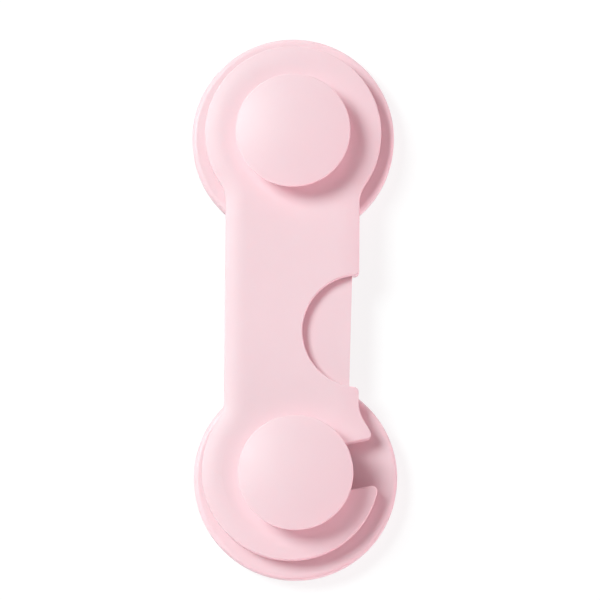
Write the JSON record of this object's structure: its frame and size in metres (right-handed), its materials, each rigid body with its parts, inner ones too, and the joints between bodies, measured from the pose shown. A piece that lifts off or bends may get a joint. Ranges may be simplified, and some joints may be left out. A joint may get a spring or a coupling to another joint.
{
  "type": "child safety swing latch",
  "caption": "Stick-on swing latch for cupboard and drawer fronts: a hollow bar pivots on one knobbed base and hooks onto the other, with a sprung release lever in a finger notch.",
  "frame": {"origin": "on the bar's pivot axis, at the sticky face of the pivot base's foam pad", "axes": "+Z out of the mounting surface, +Y from the catch towards the pivot, +X towards the slot's mouth and the finger notch"},
  "size_m": [0.0461, 0.121, 0.0182],
  "materials": {
    "latch_plastic": "satin moulded plastic, pale pink",
    "foam_tape": "white foam adhesive tape",
    "screw_steel": "zinc plated",
    "spring_steel": "bright spring strip"
  },
  "bodies": {
    "bases": {"pivot_base": "latch_plastic", "pivot_pad": "foam_tape", "pivot_knob": "latch_plastic", "pivot_screw": "screw_steel", "catch_base": "latch_plastic", "catch_pad": "foam_tape", "catch_knob": "latch_plastic", "catch_screw": "screw_steel"},
    "swing_bar": {"bar_cover": "latch_plastic", "bar_back": "latch_plastic", "bar_screws": "screw_steel", "lever_pin": "screw_steel", "return_spring": "spring_steel"},
    "release": {"release_lever": "latch_plastic", "catch_spring": "spring_steel"}
  },
  "joints": [
    {"name": "bar_swing", "type": "hinge", "parent": "bases", "child": "swing_bar", "pos_m": [0, 0, 0], "axis": [0, 0, -1], "range_deg": [0, 340], "deforming": ["catch_spring"]},
    {"name": "release_press", "type": "hinge", "parent": "swing_bar", "child": "release", "pos_m": [-0.00984, -0.06468, 0], "axis": [0, 0, 1], "range_deg": [0, 9.5], "stiffness_Nm_per_rad": 0.4, "springref_deg": -11.46, "deforming": ["return_spring"]}
  ]
}
